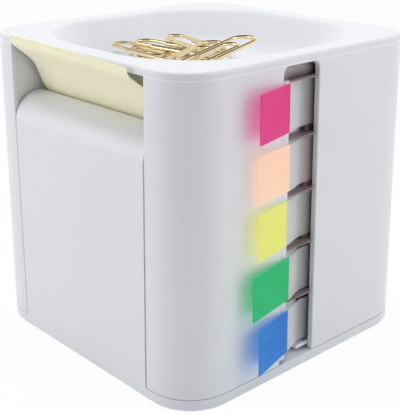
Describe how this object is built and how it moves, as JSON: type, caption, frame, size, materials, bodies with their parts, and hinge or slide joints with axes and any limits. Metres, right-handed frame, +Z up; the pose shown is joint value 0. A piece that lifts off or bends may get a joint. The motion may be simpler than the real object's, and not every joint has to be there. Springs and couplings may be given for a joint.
{
  "type": "memo pad holder with drawer",
  "caption": "Cube desk dispenser: slide-out drawer with rolled lip for memo notes, side slot with film index flags, scooped clip dish on top.",
  "frame": {"origin": "middle of the whole footprint, flags included, on the surface it stands on", "axes": "+Z up, -Y the front with the note opening, +X the side with the flags"},
  "size_m": [0.0912, 0.0883, 0.0869],
  "materials": {
    "shell_plastic": "satin moulded ABS",
    "tray_plastic": "satin moulded ABS",
    "drawer_plastic": "satin moulded ABS",
    "bin_plastic": "satin moulded ABS",
    "cartridge_plastic": "satin moulded ABS",
    "shelf_plastic": "thin grey-brown plastic",
    "pad_rubber": "matt",
    "card": "grey board",
    "note_paper": "uncoated",
    "sheet_paper": "uncoated",
    "clip_brass": "plated wire",
    "film_pink": "printed film with a clear stem",
    "pack_pink": "stack of printed film",
    "film_peach": "printed film with a clear stem",
    "pack_peach": "stack of printed film",
    "film_yellow": "printed film with a clear stem",
    "pack_yellow": "stack of printed film",
    "film_green": "printed film with a clear stem",
    "pack_green": "stack of printed film",
    "film_blue": "printed film with a clear stem",
    "pack_blue": "stack of printed film"
  },
  "bodies": {
    "housing": {"shell": "shell_plastic", "top_tray": "tray_plastic", "flag_cartridge": "cartridge_plastic", "flag_shelves": "shelf_plastic", "paper_clips": "clip_brass", "flag_pink": "film_pink", "flag_peach": "film_peach", "flag_yellow": "film_yellow", "flag_green": "film_green", "flag_blue": "film_blue", "flag_pack_pink": "pack_pink", "flag_pack_peach": "pack_peach", "flag_pack_yellow": "pack_yellow", "flag_pack_green": "pack_green", "flag_pack_blue": "pack_blue"},
    "drawer": {"drawer": "drawer_plastic", "foot_pads": "pad_rubber", "note_bin": "bin_plastic", "backing_card": "card", "note_block": "note_paper", "note_sheet": "sheet_paper"}
  },
  "joints": [
    {"name": "drawer_slide", "type": "slide", "parent": "housing", "child": "drawer", "axis": [0, -1, 0], "range_m": [0, 0.06]}
  ]
}
